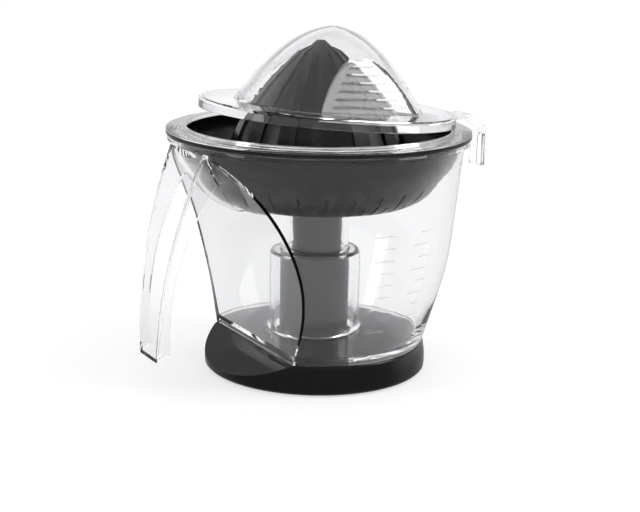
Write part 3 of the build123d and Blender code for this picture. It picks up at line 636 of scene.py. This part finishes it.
@dataclass
class Jug(SubAssembly):
    """The clear jug with its open handle and two columns of raised measuring lines."""

    nodes: tuple = ("jug",)
    rounding: float = 0.0003
    wall: tuple = (
        (0.0585, 0.019), (0.0636, 0.036), (0.0696, 0.0586),
        (0.0724, 0.0805), (0.0746, 0.104), (0.0764, 0.12),
    )
    panel_side: float = -0.03
    crease_angle: float = 12.0
    crease_reach: float = 0.0008
    crease_rounding: float = 0.0012
    columns: tuple = (-83.0, -64.0)
    first_line: float = 0.034
    line_pitch: float = 0.0064
    line_count: int = 9
    line_span: float = 9.0
    line_width: float = 0.0004
    line_relief: float = 0.00015

    def wall_radius(self, wall: bpy.types.Object, turn: float, height: float) -> float:
        """Finds where the wall's outer face is by looking straight in at it.

        Args:
            wall: The jug's moulding.
            turn: The direction in degrees.
            height: The height in metres.

        Returns:
            The radius in metres.
        """
        way = Vector((math.cos(math.radians(turn)), math.sin(math.radians(turn)), 0.0))
        eye = way * 0.2 + Vector((0.0, 0.0, height))
        met, place, _, _ = wall.ray_cast(eye, -way)
        return Vector((place.x, place.y)).length if met else 0.0

    def build_lines(self, wall: bpy.types.Object, name: str, column: float, first_full: int) -> None:
        """Spins one column of short raised lines along the wall, every other one short.

        Args:
            wall: The jug's moulding.
            name: The new piece's name.
            column: The column's middle, in degrees.
            first_full: The number of the lowest full-length line, 0 or 1.
        """
        bpy.ops.object.select_all(action="DESELECT")
        bpy.ops.mesh.primitive_plane_add(size=self.line_width)
        piece = bpy.context.object
        piece.name = name
        bpy.ops.object.mode_set(mode="EDIT")
        bpy.ops.mesh.select_all(action="SELECT")
        bpy.ops.mesh.delete(type="VERT")
        turn = math.radians(column - self.line_span / 2)
        for index in range(self.line_count):
            height = self.first_line + index * self.line_pitch
            length = LineLength.FULL if index % 2 == first_full else LineLength.SHORT
            reach = self.wall_radius(wall, column, height) + self.line_relief
            place = (reach * math.cos(turn), reach * math.sin(turn), height)
            bpy.ops.mesh.primitive_plane_add(
                size=self.line_width, location=place, rotation=(math.pi / 2, 0.0, turn)
            )
            bpy.ops.mesh.spin(
                steps=8,
                angle=math.radians(self.line_span * length.value),
                center=(0.0, 0.0, 0.0),
                axis=(0.0, 0.0, 1.0),
            )
            bpy.ops.mesh.select_all(action="DESELECT")
        bpy.ops.mesh.select_all(action="SELECT")
        bpy.ops.mesh.remove_doubles(threshold=WELD)
        bpy.ops.mesh.normals_make_consistent(inside=False)
        bpy.ops.object.mode_set(mode="OBJECT")
        self.fit(piece, "jug", replace=False)

    def outer_radius(self, height: float) -> float:
        """Finds the outer wall's radius between the heights where it is given.

        Args:
            height: The height in metres.

        Returns:
            The radius in metres, or 0 above and below the wall.
        """
        for (low_r, low), (high_r, high) in zip(self.wall, self.wall[1:]):
            if low <= height <= high:
                return low_r + (high_r - low_r) * (height - low) / (high - low)
        return 0.0

    def round_scoop(self, piece: bpy.types.Object) -> None:
        """Rolls off the outer crease around the scooped panel, as the mould does.

        Args:
            piece: The jug's merged copy.
        """
        alone(piece)
        bpy.ops.object.mode_set(mode="EDIT")
        bpy.ops.mesh.select_mode(type="EDGE")
        bpy.ops.mesh.select_all(action="DESELECT")
        bpy.ops.mesh.edges_select_sharp(sharpness=math.radians(self.crease_angle))
        bpy.ops.object.mode_set(mode="OBJECT")
        mesh = piece.data
        on_crease = []
        for vertex in mesh.vertices:
            off_wall = abs(vertex.co.xy.length - self.outer_radius(vertex.co.z))
            on_crease.append(vertex.co.x < self.panel_side and off_wall < self.crease_reach)
        for edge in mesh.edges:
            edge.select = edge.select and all(on_crease[index] for index in edge.vertices)
        bpy.ops.object.mode_set(mode="EDIT")
        bpy.ops.mesh.bevel(
            offset=self.crease_rounding, segments=4, affect="EDGES", clamp_overlap=True
        )
        bpy.ops.object.mode_set(mode="OBJECT")

    def build(self) -> None:
        """Rounds the jug's edges and adds its measuring lines."""
        wall = merged_copy("jug", "jug_moulding")
        self.round_scoop(wall)
        soften(wall, self.rounding)
        self.fit(wall, "jug")
        for index, column in enumerate(self.columns):
            self.build_lines(wall, f"jug_lines_{index + 1}", column, index)


@dataclass
class Strainer(SubAssembly):
    """The slotted bowl that hangs in the jug's mouth."""

    nodes: tuple = ("strainer",)
    rounding: float = 0.0003

    def build(self) -> None:
        """Rounds the bowl's rim and slots."""
        self.softened("strainer", self.rounding)


@dataclass
class ReamingCone(SubAssembly):
    """The ribbed cone that takes the fruit."""

    nodes: tuple = ("reaming_cone",)
    rounding: float = 0.0007

    def build(self) -> None:
        """Rounds the ribs."""
        self.softened("reaming_cone", self.rounding)


@dataclass
class SplashRing(SubAssembly):
    """The clear ring over the strainer's rim, with the hooded spout."""

    nodes: tuple = ("splash_ring",)
    rounding: float = 0.0003

    def build(self) -> None:
        """Rounds the ring's and the spout's edges."""
        self.softened("splash_ring", self.rounding)


@dataclass
class DustLid(SubAssembly):
    """The clear dome with a ribbed grip on each side."""

    nodes: tuple = ("dome_lid",)
    rounding: float = 0.0003

    def build(self) -> None:
        """Rounds the dome's brim and grips."""
        self.softened("dome_lid", self.rounding)


# ---- Studio -------------------------------------------------------------------------------------


@dataclass
class Studio:
    """A pale lit floor, soft lights and the camera."""

    floor_half: float = 9.0
    floor_glow: float = 0.58
    focal: float = 80.59
    pitch: float = 0.2416
    roll: float = 0.0218
    azimuth: float = -30.0
    distance: float = 0.7445
    height: float = 0.24269
    sideways: float = 0.00193
    light_target: float = 0.1
    light_distance: float = 1.3
    light_paths: int = 32
    near_air: tuple = (
        (-1.0, 0.12), (-0.3, 0.1), (-0.1, 0.1), (0.12, 0.1), (0.35, 0.15), (0.6, 0.2), (0.95, 0.08)
    )
    far_air: tuple = (
        (-1.0, 0.25), (-0.25, 0.4), (-0.06, 0.9), (0.12, 0.95),
        (0.24, 0.6), (0.36, 0.45), (0.7, 0.4), (0.95, 0.1),
    )

    def build_floor(self) -> None:
        """Lays a wide pale floor, lit from below as well, with a barely uneven, matt surface."""
        bpy.ops.object.select_all(action="DESELECT")
        bpy.ops.mesh.primitive_plane_add(size=2 * self.floor_half, location=(0, 0, 0))
        floor = bpy.context.object
        floor.name = "studio_floor"
        floor.visible_glossy = False
        bench = MaterialBench("studio_paper")
        grain = bench.effect(EFFECTS.grain(), Fine_Scale=300.0, Slow_Scale=2.0)
        bench.feed(bench.blend(grain.outputs["Tone"], (0.44, 0.44, 0.44), (0.45, 0.45, 0.45)), "Base Color")
        bench.put(Roughness=0.95, Specular_IOR_Level=0.0)
        bench.put(Emission_Color=(1.0, 1.0, 1.0, 1.0), Emission_Strength=self.floor_glow)
        floor.data.materials.append(bench.material)

    @staticmethod
    def air_ramp(
        tree: bpy.types.NodeTree, rise: bpy.types.NodeSocket, stops: tuple
    ) -> bpy.types.NodeSocket:
        """Adds a ramp from straight down to straight up.

        Args:
            tree: The world's node tree.
            rise: The direction's height, from 0 at the bottom to 1 at the top.
            stops: Pairs of height, from -1 to 1, and brightness.

        Returns:
            The ramp's colour socket.
        """
        ramp = tree.nodes.new("ShaderNodeValToRGB")
        while len(ramp.color_ramp.elements) < len(stops):
            ramp.color_ramp.elements.new(0.5)
        for element, (height, tone) in zip(ramp.color_ramp.elements, stops):
            element.position = (height + 1.0) / 2.0
            element.color = (tone, tone, tone * 1.02, 1.0)
        tree.links.new(rise, ramp.inputs["Fac"])
        return ramp.outputs["Color"]

    def build_world(self) -> None:
        """Surrounds the press with air: a dark room in front of it, and a bright backdrop behind."""
        world = bpy.data.worlds.new("studio_air")
        world.use_nodes = True
        bpy.context.scene.world = world
        tree = world.node_tree
        background = tree.nodes["Background"]
        place = tree.nodes.new("ShaderNodeTexCoord")
        split = tree.nodes.new("ShaderNodeSeparateXYZ")
        tree.links.new(place.outputs["Generated"], split.inputs["Vector"])
        half = tree.nodes.new("ShaderNodeMapRange")
        half.inputs["From Min"].default_value = -1.0
        tree.links.new(split.outputs["Z"], half.inputs["Value"])
        turn = math.radians(self.azimuth)
        front = tree.nodes.new("ShaderNodeVectorMath")
        front.operation = "DOT_PRODUCT"
        front.inputs[1].default_value = (math.sin(turn), -math.cos(turn), 0.0)
        tree.links.new(place.outputs["Generated"], front.inputs[0])
        share = tree.nodes.new("ShaderNodeMapRange")
        share.inputs["From Min"].default_value = -0.25
        share.inputs["From Max"].default_value = 0.15
        tree.links.new(front.outputs["Value"], share.inputs["Value"])
        mix = tree.nodes.new("ShaderNodeMix")
        mix.data_type = "RGBA"
        tree.links.new(share.outputs["Result"], mix.inputs["Factor"])
        tree.links.new(self.air_ramp(tree, half.outputs["Result"], self.far_air), mix.inputs["A"])
        tree.links.new(self.air_ramp(tree, half.outputs["Result"], self.near_air), mix.inputs["B"])
        tree.links.new(mix.outputs["Result"], background.inputs["Color"])

    def add_sun(self) -> None:
        """Lights the floor evenly from the whole sky, without a highlight."""
        data = bpy.data.lights.new("room_light", "SUN")
        data.energy = 2.3
        data.angle = math.radians(150.0)
        lamp = bpy.data.objects.new("room_light", data)
        lamp.visible_glossy = False
        bpy.context.scene.collection.objects.link(lamp)
        lamp.rotation_euler = (math.radians(8.0), math.radians(-6.0), 0.0)

    def add_softbox(
        self, name: str, azimuth: float, elevation: float, size: tuple[float, float], power: float
    ) -> None:
        """Hangs a soft box around the press, pointing at the jug's middle.

        Args:
            name: The light's name.
            azimuth: Degrees to the right of the camera.
            elevation: Degrees above eye level.
            size: Its width and height in metres.
            power: Its power in watts.
        """
        data = bpy.data.lights.new(name, "AREA")
        data.shape = "RECTANGLE"
        data.size, data.size_y = size
        data.energy = power
        lamp = bpy.data.objects.new(name, data)
        bpy.context.scene.collection.objects.link(lamp)
        turn = math.radians(self.azimuth + azimuth)
        rise = math.radians(elevation)
        target = Vector((0.0, 0.0, self.light_target))
        flat = math.cos(rise)
        back = Vector((math.sin(turn) * flat, -math.cos(turn) * flat, math.sin(rise)))
        lamp.location = target + back * self.light_distance
        lamp.rotation_euler = (-back).to_track_quat("-Z", "Y").to_euler()

    def build_camera(self) -> None:
        """Places the camera at its height, turned to the side by the azimuth."""
        data = bpy.data.cameras.new("studio_camera")
        data.lens = self.focal
        data.sensor_width = 36.0
        camera = bpy.data.objects.new("studio_camera", data)
        bpy.context.scene.collection.objects.link(camera)
        turn = Matrix.Rotation(math.radians(self.azimuth), 4, "Z")
        place = Matrix.Translation((self.sideways, -self.distance, self.height))
        tilt = Matrix.Rotation(math.pi / 2 - self.pitch, 4, "X")
        camera.matrix_world = turn @ place @ tilt @ Matrix.Rotation(self.roll, 4, "Z")
        bpy.context.scene.camera = camera

    def build(self) -> None:
        """Builds the whole studio."""
        self.build_camera()
        self.build_floor()
        self.build_world()
        self.add_sun()
        self.add_softbox("right_box", 80.0, 32.0, (0.55, 0.9), 6.0)
        self.add_softbox("left_box", -66.0, 22.0, (0.3, 0.8), 3.0)
        bpy.context.scene.view_settings.view_transform = "Standard"
        bpy.context.scene.cycles.max_bounces = self.light_paths
        bpy.context.scene.cycles.transmission_bounces = self.light_paths
        bpy.context.scene.cycles.glossy_bounces = self.light_paths // 2


def main() -> None:
    logging.basicConfig(level=logging.INFO, format="%(name)s: %(message)s")
    Studio().build()
    palette = Palette()
    for kind in (BaseUnit, DriveTower, DriveUnit, Jug, Strainer, ReamingCone, SplashRing, DustLid):
        group = kind(palette)
        group.dress()
        group.build()


if __name__ == "__main__":
    main()
